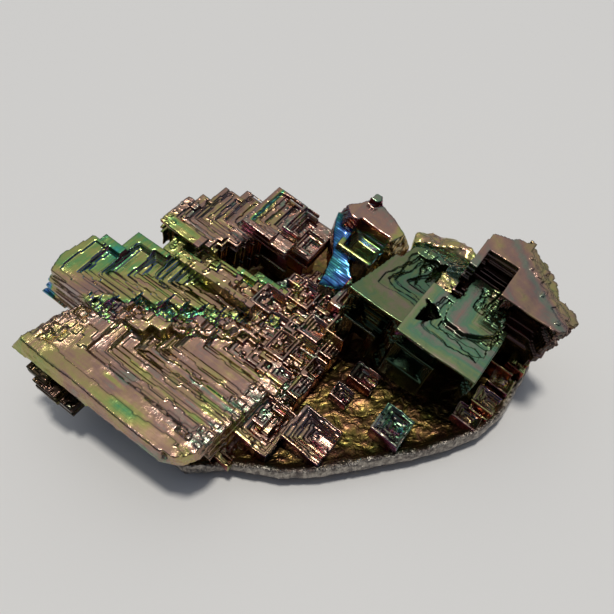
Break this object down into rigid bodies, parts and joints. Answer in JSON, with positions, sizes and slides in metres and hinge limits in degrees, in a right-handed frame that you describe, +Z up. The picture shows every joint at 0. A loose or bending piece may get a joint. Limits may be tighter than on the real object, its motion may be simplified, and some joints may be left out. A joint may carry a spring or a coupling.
{
  "type": "bismuth hopper crystal",
  "caption": "Bismuth specimen: stepped hopper crystals and open cubes grown together on a shallow rounded slab, with a flat foot to stand on.",
  "frame": {"origin": "middle of the bounding box in plan, at the level of the flat foot", "axes": "+X along the longest side, from the broad plate towards the far cube; +Y away from the viewer; +Z up"},
  "size_m": [0.1062, 0.0686, 0.0292],
  "materials": {
    "bismuth": "bare bismuth under an iridescent oxide film, satin to bright"
  },
  "bodies": {
    "root": {"bismuth_crystal": "bismuth"}
  },
  "joints": []
}
